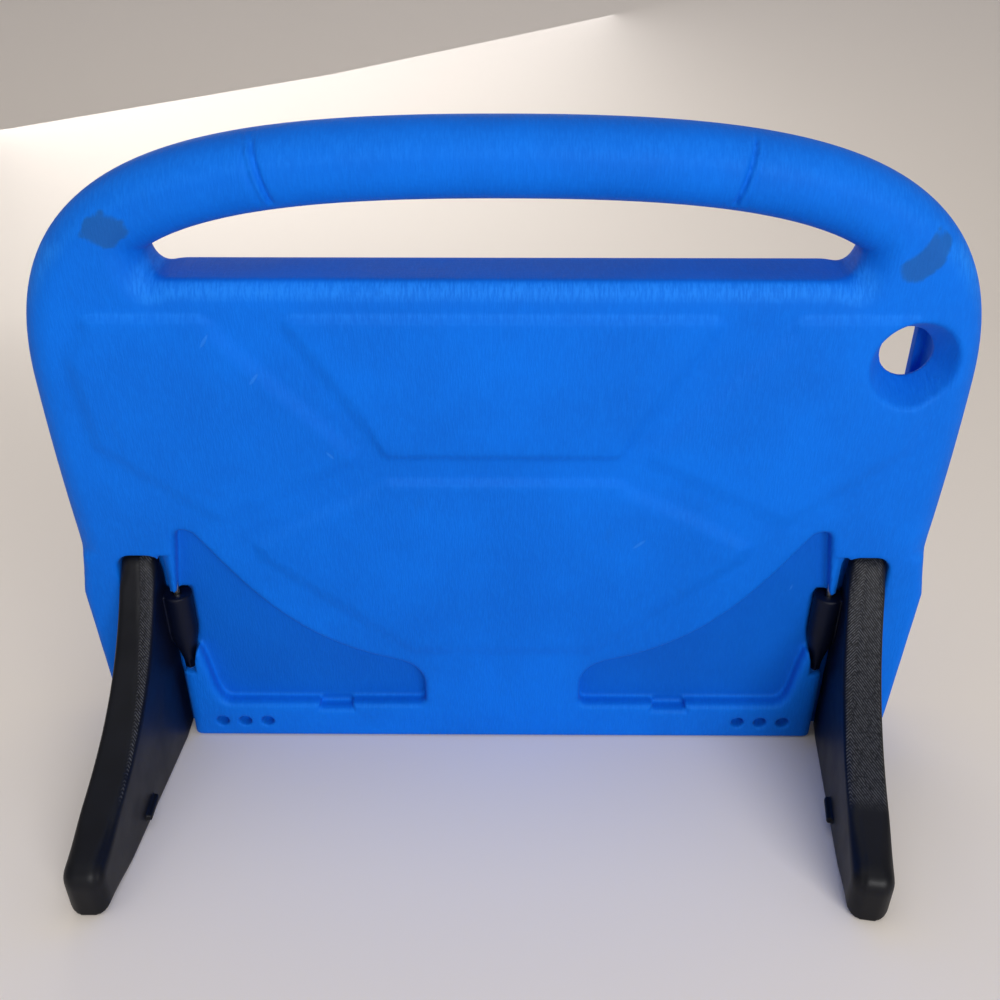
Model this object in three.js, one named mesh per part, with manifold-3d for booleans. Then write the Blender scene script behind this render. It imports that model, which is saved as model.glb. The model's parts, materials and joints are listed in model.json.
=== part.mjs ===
// A foam case for a tablet, with a carrying handle, standing on two swing-out legs.
// Lengths are in millimetres. The case is drawn flat in its own panel frame:
// x runs across it, y up it and z out of its back. It is leant and set on the floor at the end.
import * as THREE from 'three';
import { mergeVertices } from 'three/addons/utils/BufferGeometryUtils.js';
import Module from 'manifold-3d';

const wasm = await Module();
wasm.setup();

// Overall body
const HALF_WIDTH = 140;
const TOP = 214.4;
const THICKNESS = 25;
const WIDEST_HEIGHT = 140;
const WAIST_HEIGHT = 85;
const WAIST_INSET = 1.6;
const FOOT_INSET = 4.2;
const CORNER_RADIUS = 12;
const EDGE_ROUND = 10.2;
const EDGE_ROUND_DEPTH = 12;
const BOTTOM_ROUND = 2.5;
const LEAN = THREE.MathUtils.degToRad(10.2);

// Handle and hand opening
const HANDLE_HEIGHT = 21.4;
const GRIP_HEIGHT = 21;
const GRIP_TIP_RISE = 6.4;
const GRIP_END_ROUND = 4.8;
const PANEL_TOP_ROUND = 8;
const PANEL_TOP_ROUND_DEPTH = 4.5;
const SHELF_END = 10;

// Tablet bay and front lip
const BACK_WALL = 11;
const SIDE_WALL = 12;
const TOP_WALL = 6;
const LIP = 4.5;
const BAY_BOTTOM = 6;
const BAY_RADIUS = 8;
const LIP_REACH = 2.6;

// Openings through the walls
const CAMERA = { inset: 21.3, drop: 18.2, outer: 13, inner: 7.7, depth: 10 };
const PORT = { width: 8, length: 22, radius: 3 };

// Raised pads on the back
const PAD_RISE = 1.2;
const PAD_BEVEL = 2.4;
const PAD_MARGIN = 9.4;
const UPPER_PAD = { bottom: 116.2, bottomHalf: 36, topHalf: 66, radius: 4 };
const LOWER_PAD = {
  bottom: 39,
  bottomHalf: 31,
  widest: { x: 80.5, y: 85 },
  corner: { x: 78, y: 78 },
  shoulder: { x: 60, y: 97 },
  top: 109,
  topHalf: 35.5,
  radius: 3,
};
const WING_PAD = {
  inner: { x: 40, y: 115.6 },
  bottom: { x: 88.6, y: 91 },
  outer: { x: 124, y: 119 },
  brow: { x: 127, drop: 12.6 },
  topOuter: 118,
  topInner: 84,
  radius: 5,
};

// Lower corner blocks that hold the legs
const BLOCK_WIDTH = 36;
const BLOCK_TOP = 82;
const BLOCK_SHOULDER = 64;
const BLOCK_TAPER = 2.6;
const BLOCK_PROUD = 0.3;
const BLOCK_ROUND = 3.5;

// Legs
const LEG_THICKNESS = 11.9;
const LEG_HEIGHT = 79.3;
const LEG_REACH = 91.4;
const LEG_ROOT = 4.2;
const LEG_ROUND = 1.6;
const LEG_SHOULDER = 3.5;
const TOE_TOP = 33.3;
const TOE_ROUND = 6;
const HEEL_HEIGHT = 0.9;
const FLOOR_TRIM = 0.3;
const OPEN_ANGLE = { left: THREE.MathUtils.degToRad(89.5), right: THREE.MathUtils.degToRad(81) };

// Hinges
const HINGE_INSET = 31.7;
const HINGE_DEPTH = 3.7;
const PIN_RADIUS = 1;
const PIN_GAP = 0.3;
const PIN_BOTTOM = 2;
const PIN_TOP = 84;
const BARREL_RADIUS = 5;
const BARREL_BOTTOM = 38;
const BARREL_TOP = 62.4;
const WEB_THICKNESS = 5.2;
const BEARING_WALL = 0.9;
const SLOT_WALL = 0.7;
const FOLDED_GAP = 0.3;

// Slots, necks and recesses
const SLOT_GAP = 0.5;
const SLOT_TOP_GAP = 0.9;
const SLOT_CORNER = 3;
const SLOT_CHAMFER = { low: 1.5, high: 3 };
const ROOT_GAP = 0.4;
const BARREL_GAP = 0.3;
const NECK_GAP = 0.9;
const RECESS_DEPTH = 5.6;
const RECESS_BOTTOM = 15.5;
const RECESS_REACH = 81.3;
const RECESS_TIP_TOP = 35.8;
const RECESS_TIP_ROUND = 10;
const RECESS_PEAK = 8.4;
const RECESS_PEAK_WIDTH = 6;
const RECESS_HEEL = 13;

// Leg catch: a nub on the leg that drops into a notch beside the recess
const CATCH = { reach: 49.6, length: 9.4, height: 2, rise: 1.9, sideGap: 1, gap: 0.4 };

// Row of blind dimples below each recess
const DIMPLE = { reach: 24.7, pitch: 8, y: 7.5, radius: 2.2, depth: 5, count: 3 };

const CURVE_STEPS = 10;
const PAD_STEPS = 4;
const ROUND_STEPS = 4;
const UNDERSIDE_STEPS = 48;
const CIRCLE_STEPS = 24;
const BEYOND = 10;

// Places that follow from the sizes above
const PANEL_TOP = TOP - HANDLE_HEIGHT - GRIP_HEIGHT;
const BAY_HALF = HALF_WIDTH - SIDE_WALL;
const BAY_TOP = PANEL_TOP - TOP_WALL;
const BLOCK_INNER = HALF_WIDTH - BLOCK_WIDTH;
const HINGE_X = HALF_WIDTH - HINGE_INSET;
const CATCH_X = HINGE_X - CATCH.reach;
const LEG_INNER = HINGE_DEPTH + FOLDED_GAP;
const LEG_OUTER = LEG_INNER + LEG_THICKNESS;
const SLOT_FLOOR = -(HINGE_DEPTH + LEG_ROOT + ROOT_GAP);
const SLOT_INNER = HINGE_X + PIN_RADIUS + PIN_GAP + SLOT_WALL;
const SLOT_OUTER = HINGE_X + LEG_OUTER + SLOT_GAP;
const SLOT_TOP = LEG_HEIGHT + SLOT_TOP_GAP;
const CATCH_FLOOR = RECESS_BOTTOM - CATCH.height - CATCH.gap;

const foam = new THREE.MeshStandardMaterial({ color: 0x1668d8, roughness: 0.85, metalness: 0 });
const blackPlastic = new THREE.MeshStandardMaterial({ color: 0x15161b, roughness: 0.6, metalness: 0 });
const steel = new THREE.MeshStandardMaterial({ color: 0xb9bcc0, roughness: 0.35, metalness: 1 });

// Solids and geometries

function solidOf(geometry) {
  const plain = geometry.clone();
  plain.deleteAttribute('normal');
  plain.deleteAttribute('uv');
  const merged = mergeVertices(plain, 1e-4);
  const corners = merged.index.array;
  const triangles = [];
  for (let i = 0; i < corners.length; i += 3) {
    const [a, b, c] = corners.slice(i, i + 3);
    if (a !== b && b !== c && c !== a) {
      triangles.push(a, b, c);
    }
  }
  return new wasm.Manifold(new wasm.Mesh({
    numProp: 3,
    vertProperties: new Float32Array(merged.attributes.position.array),
    triVerts: new Uint32Array(triangles),
  }));
}

function geometryOf(solid) {
  const mesh = solid.getMesh();
  const geometry = new THREE.BufferGeometry();
  geometry.setAttribute('position', new THREE.BufferAttribute(mesh.vertProperties, 3));
  geometry.setIndex(new THREE.BufferAttribute(mesh.triVerts, 1));
  geometry.computeVertexNormals();
  return geometry;
}

// A plate between two depths, with its edges rounded inward from the outline.
function plateGeometry(shape, low, high, round = 0, roundDepth = round, steps = ROUND_STEPS, along = 0) {
  const geometry = new THREE.ExtrudeGeometry(shape, {
    depth: high - low - 2 * roundDepth,
    curveSegments: along || CURVE_STEPS,
    bevelEnabled: round > 0,
    bevelSize: round,
    bevelOffset: -round,
    bevelThickness: roundDepth,
    bevelSegments: steps,
  });
  geometry.translate(0, 0, low + roundDepth);
  return geometry;
}

function plate(...sizes) {
  return solidOf(plateGeometry(...sizes));
}

function block(x0, x1, y0, y1, z0, z1) {
  const geometry = new THREE.BoxGeometry(Math.abs(x1 - x0), y1 - y0, z1 - z0);
  geometry.translate((x0 + x1) / 2, (y0 + y1) / 2, (z0 + z1) / 2);
  return solidOf(geometry);
}

// An upright cylinder, parallel to the hinge axes.
function post(x, z, radius, y0, y1) {
  const geometry = new THREE.CylinderGeometry(radius, radius, y1 - y0, CIRCLE_STEPS);
  geometry.translate(x, (y0 + y1) / 2, z);
  return solidOf(geometry);
}

// An upright prism whose section is given as x and z.
function prism(section, y0, y1) {
  const geometry = new THREE.ExtrudeGeometry(
    polygon(section.map(([x, z]) => [x, -z])),
    { depth: y1 - y0, bevelEnabled: false },
  );
  geometry.rotateX(-Math.PI / 2);
  geometry.translate(0, y0, 0);
  return solidOf(geometry);
}

// A turned solid whose axis runs out of the back, from a profile of radius and depth.
function turned(profile, x, y) {
  const points = profile.map(([radius, z]) => new THREE.Vector2(radius, z));
  const geometry = new THREE.LatheGeometry(points, CIRCLE_STEPS);
  geometry.rotateX(Math.PI / 2);
  geometry.translate(x, y, 0);
  return solidOf(geometry);
}

function polygon(points) {
  return new THREE.Shape(points.map(([x, y]) => new THREE.Vector2(x, y)));
}

// A polygon whose corners are rounded to one radius.
function roundedPolygon(points, radius) {
  const corners = points.map(([x, y]) => new THREE.Vector2(x, y));
  const shape = new THREE.Shape();
  corners.forEach((corner, i) => {
    const back = corners.at(i - 1).clone().sub(corner).normalize();
    const ahead = corners[(i + 1) % corners.length].clone().sub(corner).normalize();
    const turn = Math.PI - Math.acos(back.dot(ahead));
    const reach = radius * Math.tan(turn / 2);
    const pull = reach - radius * Math.tan(turn / 4) * 4 / 3;
    const from = (direction, distance) => direction.clone().multiplyScalar(distance).add(corner);
    const arrive = from(back, reach);
    if (i === 0) {
      shape.moveTo(arrive.x, arrive.y);
    } else {
      shape.lineTo(arrive.x, arrive.y);
    }
    const handles = [from(back, pull), from(ahead, pull), from(ahead, reach)];
    shape.bezierCurveTo(...handles.flatMap(({ x, y }) => [x, y]));
  });
  shape.closePath();
  return shape;
}

function mirrored(points) {
  return points.map(([x, y]) => [-x, y]).reverse();
}

function roundedBar(x0, x1, y0, y1, radius) {
  return roundedPolygon([[x0, y0], [x1, y0], [x1, y1], [x0, y1]], radius);
}

// Body

// The right half of the body's arched top, from the widest place up to the middle.
function crownCurve() {
  const crownX = HALF_WIDTH * 0.61;
  const crownY = WIDEST_HEIGHT + (TOP - WIDEST_HEIGHT) * 0.885;
  return new THREE.CubicBezierCurve(
    new THREE.Vector2(HALF_WIDTH, WIDEST_HEIGHT),
    new THREE.Vector2(HALF_WIDTH, crownY),
    new THREE.Vector2(crownX, TOP),
    new THREE.Vector2(0, TOP),
  );
}

function bodyOutline() {
  const foot = HALF_WIDTH - FOOT_INSET;
  const waist = HALF_WIDTH - WAIST_INSET;
  const swell = (WIDEST_HEIGHT + WAIST_HEIGHT) / 2;
  const { v1, v2 } = crownCurve();
  const shape = new THREE.Shape();
  shape.moveTo(CORNER_RADIUS - foot, 0);
  shape.lineTo(foot - CORNER_RADIUS, 0);
  shape.absarc(foot - CORNER_RADIUS, CORNER_RADIUS, CORNER_RADIUS, -Math.PI / 2, 0);
  shape.lineTo(waist, WAIST_HEIGHT);
  shape.quadraticCurveTo(HALF_WIDTH, swell, HALF_WIDTH, WIDEST_HEIGHT);
  shape.bezierCurveTo(v1.x, v1.y, v2.x, v2.y, 0, TOP);
  shape.bezierCurveTo(-v2.x, v2.y, -v1.x, v1.y, -HALF_WIDTH, WIDEST_HEIGHT);
  shape.quadraticCurveTo(-HALF_WIDTH, swell, -waist, WAIST_HEIGHT);
  shape.lineTo(-foot, CORNER_RADIUS);
  shape.absarc(CORNER_RADIUS - foot, CORNER_RADIUS, CORNER_RADIUS, Math.PI, 1.5 * Math.PI);
  return shape;
}

// The underside of the handle keeps one distance to the arched top, and ends a little over the panel.
function handleUnderside() {
  const crown = crownCurve();
  const under = [];
  for (let step = 0; step <= UNDERSIDE_STEPS; step += 1) {
    const share = step / UNDERSIDE_STEPS;
    const along = crown.getTangent(share);
    const inward = new THREE.Vector2(-along.y, along.x).multiplyScalar(HANDLE_HEIGHT);
    under.push(crown.getPoint(share).add(inward));
  }
  return under.filter((point) => point.y > PANEL_TOP + GRIP_TIP_RISE);
}

function handOpening() {
  const right = handleUnderside();
  const left = right.slice(0, -1).reverse().map((point) => new THREE.Vector2(-point.x, point.y));
  const [{ x: tipX, y: tipY }] = right;
  const endX = tipX - GRIP_END_ROUND;
  const easeX = tipX - GRIP_END_ROUND / 3;
  const easeY = tipY - GRIP_TIP_RISE / 2;
  const path = new THREE.Path();
  path.moveTo(-endX, PANEL_TOP);
  path.lineTo(endX, PANEL_TOP);
  path.bezierCurveTo(easeX, PANEL_TOP, tipX - 0.4, easeY, tipX, tipY);
  for (const point of [...right.slice(1), ...left]) {
    path.lineTo(point.x, point.y);
  }
  path.bezierCurveTo(0.4 - tipX, easeY, -easeX, PANEL_TOP, -endX, PANEL_TOP);
  return path;
}

// The rounded ring of the whole body, with crisper edges under the hand opening and at the bottom.
function foamBody() {
  const outline = bodyOutline();
  outline.holes.push(handOpening());
  const shelfHalf = handleUnderside()[0].x + SHELF_END / 2;
  const shelf = [
    [shelfHalf, BLOCK_TOP],
    [shelfHalf, PANEL_TOP - SHELF_END],
    [shelfHalf - SHELF_END, PANEL_TOP],
  ];
  const shelfShape = polygon([...shelf, ...mirrored(shelf)]);
  const sillHalf = HALF_WIDTH - FOOT_INSET - CORNER_RADIUS;
  const sill = [[sillHalf, 0], [sillHalf, BLOCK_TOP]];
  return plate(outline, -THICKNESS, 0, EDGE_ROUND, EDGE_ROUND_DEPTH)
    .add(plate(shelfShape, -THICKNESS, 0, PANEL_TOP_ROUND, PANEL_TOP_ROUND_DEPTH))
    .add(plate(polygon([...sill, ...mirrored(sill)]), -THICKNESS, 0, BOTTOM_ROUND, BOTTOM_ROUND, 3))
    .add(cornerBlock(-1))
    .add(cornerBlock(1));
}

// The squarer block around each leg slot, which stands out a little from the rounded side.
function cornerBlock(side) {
  const foot = HALF_WIDTH - FOOT_INSET + BLOCK_PROUD;
  const waist = HALF_WIDTH - WAIST_INSET;
  const brow = waist - BLOCK_TAPER;
  const shape = new THREE.Shape();
  shape.moveTo(side * BLOCK_INNER, 0);
  shape.lineTo(side * (foot - CORNER_RADIUS), 0);
  shape.quadraticCurveTo(side * foot, 0, side * foot, CORNER_RADIUS);
  shape.lineTo(side * waist, BLOCK_SHOULDER);
  shape.lineTo(side * brow, BLOCK_TOP - BLOCK_ROUND);
  shape.lineTo(side * (brow - BLOCK_ROUND), BLOCK_TOP);
  shape.lineTo(side * BLOCK_INNER, BLOCK_TOP);
  shape.closePath();
  return plate(shape, -THICKNESS, 0, BLOCK_ROUND, BLOCK_ROUND, 3);
}

function pad(points, radius) {
  const foot = -PAD_RISE - PAD_BEVEL;
  return plate(roundedPolygon(points, radius), foot, PAD_RISE, PAD_BEVEL, PAD_RISE, 1, PAD_STEPS);
}

function backPads() {
  const top = PANEL_TOP - PAD_MARGIN;
  const upperRight = [[UPPER_PAD.bottomHalf, UPPER_PAD.bottom], [UPPER_PAD.topHalf, top]];
  const lowerRight = [
    [LOWER_PAD.bottomHalf, LOWER_PAD.bottom],
    [LOWER_PAD.corner.x, LOWER_PAD.corner.y],
    [LOWER_PAD.widest.x, LOWER_PAD.widest.y],
    [LOWER_PAD.shoulder.x, LOWER_PAD.shoulder.y],
    [LOWER_PAD.topHalf, LOWER_PAD.top],
  ];
  const wing = [
    [WING_PAD.inner.x, WING_PAD.inner.y],
    [WING_PAD.bottom.x, WING_PAD.bottom.y],
    [WING_PAD.outer.x, WING_PAD.outer.y],
    [WING_PAD.brow.x, top - WING_PAD.brow.drop],
    [WING_PAD.topOuter, top],
    [WING_PAD.topInner, top],
  ];
  return pad([...upperRight, ...mirrored(upperRight)], UPPER_PAD.radius)
    .add(pad([...lowerRight, ...mirrored(lowerRight)], LOWER_PAD.radius))
    .add(pad(wing, WING_PAD.radius))
    .add(pad(mirrored(wing), WING_PAD.radius));
}

// Cuts in the body

function bayCut() {
  const lipHalf = BAY_HALF - LIP_REACH;
  const bay = roundedBar(-BAY_HALF, BAY_HALF, BAY_BOTTOM, BAY_TOP, BAY_RADIUS);
  const window = roundedBar(-lipHalf, lipHalf, BAY_BOTTOM + LIP_REACH, BAY_TOP - LIP_REACH, BAY_RADIUS);
  return plate(bay, LIP - THICKNESS, -BACK_WALL)
    .add(plate(window, -THICKNESS - BEYOND, -BACK_WALL - 1));
}

function cameraCut() {
  const { inset, drop, outer, inner, depth } = CAMERA;
  const flare = (outer - inner) / depth;
  return turned([
    [0, -BACK_WALL - 1],
    [inner, -BACK_WALL - 1],
    [inner, -depth],
    [outer + flare * BEYOND, BEYOND],
    [0, BEYOND],
  ], HALF_WIDTH - inset, BAY_TOP - drop);
}

// The slot for the charging plug, through the side wall farthest from the camera.
function portCut() {
  const middle = (LIP - THICKNESS - BACK_WALL) / 2;
  const level = (BAY_BOTTOM + BAY_TOP) / 2;
  const half = PORT.length / 2;
  const section = roundedBar(-PORT.width / 2, PORT.width / 2, level - half, level + half, PORT.radius);
  const geometry = plateGeometry(section, BAY_HALF - 1, HALF_WIDTH + BEYOND);
  geometry.rotateY(-Math.PI / 2);
  geometry.translate(0, 0, middle);
  return solidOf(geometry);
}

// The shallow triangular recess beside each leg, open at its neck towards the slot.
// Its points are given as the distance inward from the hinge and the height.
function recessCut(side) {
  const at = (reach, y) => [side * (HINGE_X - reach), y];
  const neckLow = BARREL_BOTTOM + NECK_GAP;
  const neckHigh = BARREL_TOP;
  const neckReach = HINGE_X - SLOT_INNER - 1;
  const peak = SLOT_TOP + RECESS_PEAK;
  const peakReach = RECESS_PEAK_WIDTH;
  const tipTop = RECESS_TIP_TOP;
  const tipReach = RECESS_REACH - RECESS_TIP_ROUND;
  const shape = new THREE.Shape();
  shape.moveTo(...at(RECESS_REACH - 3, RECESS_BOTTOM));
  shape.lineTo(...at(RECESS_HEEL, RECESS_BOTTOM));
  shape.bezierCurveTo(...at(RECESS_HEEL / 2, RECESS_BOTTOM), ...at(8, neckLow - 9), ...at(4.5, neckLow + 1));
  shape.lineTo(...at(neckReach, neckLow));
  shape.lineTo(...at(neckReach, neckHigh));
  shape.lineTo(...at(0.5, neckHigh + 1));
  shape.lineTo(...at(peakReach - 2.3, peak - 2.6));
  shape.quadraticCurveTo(...at(peakReach - 1.7, peak + 1.9), ...at(peakReach + 3.3, peak - 0.6));
  shape.bezierCurveTo(...at(22.3, peak - 18.6), ...at(36.3, tipTop + 8.7), ...at(tipReach, tipTop));
  shape.quadraticCurveTo(
    ...at(RECESS_REACH - 0.6, tipTop - 2.2),
    ...at(RECESS_REACH, tipTop - RECESS_TIP_ROUND),
  );
  shape.lineTo(...at(RECESS_REACH, RECESS_BOTTOM + 3));
  shape.quadraticCurveTo(...at(RECESS_REACH, RECESS_BOTTOM), ...at(RECESS_REACH - 3, RECESS_BOTTOM));
  const notchHalf = CATCH.length / 2 + CATCH.sideGap;
  const notch = block(
    side * (CATCH_X - notchHalf),
    side * (CATCH_X + notchHalf),
    CATCH_FLOOR,
    RECESS_BOTTOM + 1,
    -RECESS_DEPTH,
    BEYOND,
  );
  return plate(shape, -RECESS_DEPTH, BEYOND).add(notch);
}

// Foam left standing around the pin above the neck.
function bearing(side) {
  const radius = PIN_RADIUS + PIN_GAP + BEARING_WALL;
  return post(side * HINGE_X, -HINGE_DEPTH, radius, BARREL_TOP + NECK_GAP / 2, PIN_TOP);
}

function slotCut(side) {
  const cornerY = SLOT_TOP - SLOT_CORNER;
  const slot = new THREE.Shape();
  slot.moveTo(side * SLOT_INNER, -BEYOND);
  slot.lineTo(side * SLOT_OUTER, -BEYOND);
  slot.lineTo(side * SLOT_OUTER, cornerY);
  slot.quadraticCurveTo(side * SLOT_OUTER, SLOT_TOP, side * (SLOT_OUTER - SLOT_CORNER), SLOT_TOP);
  slot.lineTo(side * (SLOT_INNER + SLOT_CORNER), SLOT_TOP);
  slot.quadraticCurveTo(side * SLOT_INNER, SLOT_TOP, side * SLOT_INNER, cornerY);
  slot.closePath();
  const chamfer = (size, low, high) => prism([
    [side * SLOT_INNER, -size],
    [side * (SLOT_INNER + 1), -size],
    [side * (SLOT_INNER + 1), BEYOND],
    [side * (SLOT_INNER - size - BEYOND), BEYOND],
  ], low, high);
  return plate(slot, SLOT_FLOOR, BEYOND)
    .add(chamfer(SLOT_CHAMFER.low, -BEYOND, BARREL_TOP))
    .add(chamfer(SLOT_CHAMFER.high, BARREL_TOP, SLOT_TOP));
}

// The pocket that the hinge barrel turns in, and the pin's bore.
function hingeCut(side) {
  const radius = BARREL_RADIUS + BARREL_GAP;
  const low = BARREL_BOTTOM - NECK_GAP;
  const high = BARREL_TOP + NECK_GAP;
  const edges = [side * (HINGE_X - radius), side * (SLOT_INNER + 1)];
  return post(side * HINGE_X, -HINGE_DEPTH, radius, low, high)
    .add(block(...edges, low, high, -HINGE_DEPTH, BEYOND))
    .add(post(side * HINGE_X, -HINGE_DEPTH, PIN_RADIUS + PIN_GAP, -BEYOND, PIN_TOP + PIN_GAP));
}

function dimpleCut(side, index) {
  return turned([
    [0, -DIMPLE.depth],
    [DIMPLE.radius, -DIMPLE.depth],
    [DIMPLE.radius, BEYOND],
    [0, BEYOND],
  ], side * (HINGE_X - DIMPLE.reach + index * DIMPLE.pitch), DIMPLE.y);
}

function caseShell() {
  let body = foamBody().add(backPads());
  for (const side of [-1, 1]) {
    body = body.subtract(recessCut(side)).add(bearing(side)).subtract(slotCut(side)).subtract(hingeCut(side));
    for (let index = 0; index < DIMPLE.count; index += 1) {
      body = body.subtract(dimpleCut(side, index));
    }
  }
  return body.subtract(cameraCut()).subtract(bayCut()).subtract(portCut());
}

// Legs, drawn around their hinge axis: x is the distance outward, z runs along the open leg.

function heightOverFloor(y, z) {
  return y * Math.cos(LEAN) - z * Math.sin(LEAN);
}

function floorUnder(shell) {
  const { vertProperties } = shell.getMesh();
  let lowest = Infinity;
  for (let i = 0; i < vertProperties.length; i += 3) {
    lowest = Math.min(lowest, heightOverFloor(vertProperties[i + 1], vertProperties[i + 2]));
  }
  return lowest;
}

function legProfile(side, angle, floor) {
  const sole = (reach) => {
    const z = reach * Math.sin(angle) + LEG_INNER * Math.cos(angle) - HINGE_DEPTH;
    return (floor + z * Math.sin(LEAN)) / Math.cos(LEAN) - FLOOR_TRIM;
  };
  const heelEnd = (HEEL_HEIGHT - sole(0)) / (sole(1) - sole(0));
  const at = (reach, y) => [-side * reach, y];
  const shape = new THREE.Shape();
  shape.moveTo(...at(-LEG_ROOT, HEEL_HEIGHT));
  shape.lineTo(...at(heelEnd, HEEL_HEIGHT));
  shape.lineTo(...at(LEG_REACH - TOE_ROUND / 2, sole(LEG_REACH - TOE_ROUND / 2)));
  shape.quadraticCurveTo(
    ...at(LEG_REACH - 0.5, sole(LEG_REACH)),
    ...at(LEG_REACH - 0.3, sole(LEG_REACH) + TOE_ROUND / 2),
  );
  shape.lineTo(...at(LEG_REACH, TOE_TOP - TOE_ROUND));
  shape.quadraticCurveTo(...at(LEG_REACH, TOE_TOP - 0.6), ...at(LEG_REACH - TOE_ROUND, TOE_TOP));
  shape.bezierCurveTo(...at(46, 37.5), ...at(24, 47), ...at(LEG_SHOULDER, LEG_HEIGHT - 1.3));
  shape.quadraticCurveTo(...at(LEG_SHOULDER - 0.6, LEG_HEIGHT), ...at(LEG_SHOULDER - 2, LEG_HEIGHT));
  shape.lineTo(...at(-LEG_ROOT, LEG_HEIGHT));
  shape.closePath();
  return shape;
}

function hingePlacement(side, angle) {
  const placement = new THREE.Group();
  placement.position.set(side * HINGE_X, 0, -HINGE_DEPTH);
  placement.rotation.y = side * (angle - Math.PI / 2);
  placement.updateMatrix();
  return placement;
}

// Everything below the floor, as seen from a leg in its place.
function groundFor(placement, floor) {
  const size = 4 * HALF_WIDTH;
  const geometry = new THREE.BoxGeometry(size, size, size);
  geometry.translate(0, floor - size / 2, 0);
  geometry.rotateX(-LEAN);
  geometry.applyMatrix4(placement.matrix.clone().invert());
  return solidOf(geometry);
}

function leg(side, angle, floor, placement) {
  const body = plateGeometry(legProfile(side, angle, floor), LEG_INNER, LEG_OUTER, LEG_ROUND, LEG_ROUND, 3);
  body.rotateY(side * Math.PI / 2);
  const catchBottom = CATCH_FLOOR + CATCH.gap;
  const nub = block(
    side * (LEG_INNER - CATCH.rise),
    side * (LEG_INNER + LEG_ROUND),
    catchBottom,
    catchBottom + CATCH.height,
    CATCH.reach - CATCH.length / 2,
    CATCH.reach + CATCH.length / 2,
  );
  const webEnd = side * (LEG_INNER + LEG_ROUND);
  const webHalf = WEB_THICKNESS / 2;
  return solidOf(body)
    .add(post(0, 0, BARREL_RADIUS, BARREL_BOTTOM, BARREL_TOP))
    .add(block(0, webEnd, BARREL_BOTTOM, BARREL_TOP, -webHalf, webHalf))
    .add(nub)
    .subtract(post(0, 0, PIN_RADIUS + PIN_GAP, BARREL_BOTTOM - 1, BARREL_TOP + 1))
    .subtract(groundFor(placement, floor));
}

// Assembly

function named(name, solid, material) {
  const mesh = new THREE.Mesh(geometryOf(solid), material);
  mesh.name = name;
  return mesh;
}

const panel = new THREE.Group();
const shell = caseShell();
const floor = floorUnder(shell);
panel.add(named('case_shell', shell, foam));
for (const [name, side] of [['left', -1], ['right', 1]]) {
  const angle = OPEN_ANGLE[name];
  const hinge = hingePlacement(side, angle);
  hinge.add(named(`${name}_leg`, leg(side, angle, floor, hinge), blackPlastic));
  hinge.add(named(`${name}_hinge_pin`, post(0, 0, PIN_RADIUS, PIN_BOTTOM, PIN_TOP), steel));
  panel.add(hinge);
}

panel.rotation.x = Math.PI / 2 + LEAN;
const tabletCase = new THREE.Group();
tabletCase.add(panel);
tabletCase.updateMatrixWorld(true);
const bounds = new THREE.Box3().setFromObject(tabletCase, true);
const centre = bounds.getCenter(new THREE.Vector3());
panel.position.set(-centre.x, -centre.y, -bounds.min.z);

export default tabletCase;
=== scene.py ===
"""A blue foam tablet case with a carrying handle, standing on two black swing-out legs."""

import json
import math

import bpy
import numpy as np
from mathutils import Matrix, Vector


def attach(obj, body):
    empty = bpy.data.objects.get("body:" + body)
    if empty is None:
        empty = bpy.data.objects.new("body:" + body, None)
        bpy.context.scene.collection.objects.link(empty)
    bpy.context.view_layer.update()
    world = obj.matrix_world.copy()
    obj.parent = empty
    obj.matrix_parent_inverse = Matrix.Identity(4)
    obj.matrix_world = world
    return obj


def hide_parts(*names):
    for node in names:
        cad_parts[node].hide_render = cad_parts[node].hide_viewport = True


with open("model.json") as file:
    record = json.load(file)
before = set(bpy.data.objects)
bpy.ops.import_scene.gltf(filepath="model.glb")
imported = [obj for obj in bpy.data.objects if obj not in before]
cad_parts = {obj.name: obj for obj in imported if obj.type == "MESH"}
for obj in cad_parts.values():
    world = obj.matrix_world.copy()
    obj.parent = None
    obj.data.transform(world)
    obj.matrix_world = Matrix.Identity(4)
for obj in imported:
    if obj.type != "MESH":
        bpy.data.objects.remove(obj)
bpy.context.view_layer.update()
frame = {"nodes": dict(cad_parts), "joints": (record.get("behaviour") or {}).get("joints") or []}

MM = 0.001

# Foam body, in millimetres in the panel frame: u across, h up the panel, w out of its back
HALF_WIDTH = 140.0
TOP = 214.25
THICKNESS = 25.0
WIDEST_HEIGHT = 140.0
WAIST = (138.4, 85.0)
FOOT_HALF = 135.8
CORNER_RADIUS = 12.0
CROWN_PULL = (0.61, 0.885)
EDGE_ROUND = 10.2
EDGE_ROUND_DEPTH = 12.0
BOTTOM_ROUND = 2.5
PANEL_TOP = 172.0
PANEL_TOP_ROUND = 8.0
PANEL_TOP_ROUND_DEPTH = 4.5
SHELF_FADE = {"above": (182, 172), "side": (104, 92), "below": (100, 150)}
HANDLE_HEIGHT = 21.4
GRIP_TIP_RISE = 6.4
GRIP_END_ROUND = 4.8
CREASE = {
    "top": (66.7, 210.5),
    "bottom": (62.3, 194.5),
    "depth": 1.25,
    "width": 0.8,
    "second": 2.2,
}
BACK_WALL = 11.0
LIP = 4.5
BAY_HALF = 128.0
BAY_BOTTOM = 6.0
BAY_TOP = 166.0
BAY_RADIUS = 8.0
LIP_REACH = 2.6
CAMERA_HOLE = {"u": 118.7, "h": 147.8, "outer": 13.0, "inner": 7.7, "depth": 10.0}
PORT = {"h": 86.0, "width": 8.0, "length": 22.0}
PAD_RISE = 1.5
PAD_FOOT = 1.2
PAD_EASE = {"soft": 5.2, "crisp": 2.8}
UPPER_PAD = [(-36, 116.2), (36, 116.2), (66, 162.6), (-66, 162.6)]
LOWER_PAD = [(31, 39), (78, 78), (80.5, 85), (60, 97), (35.5, 109)]
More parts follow.
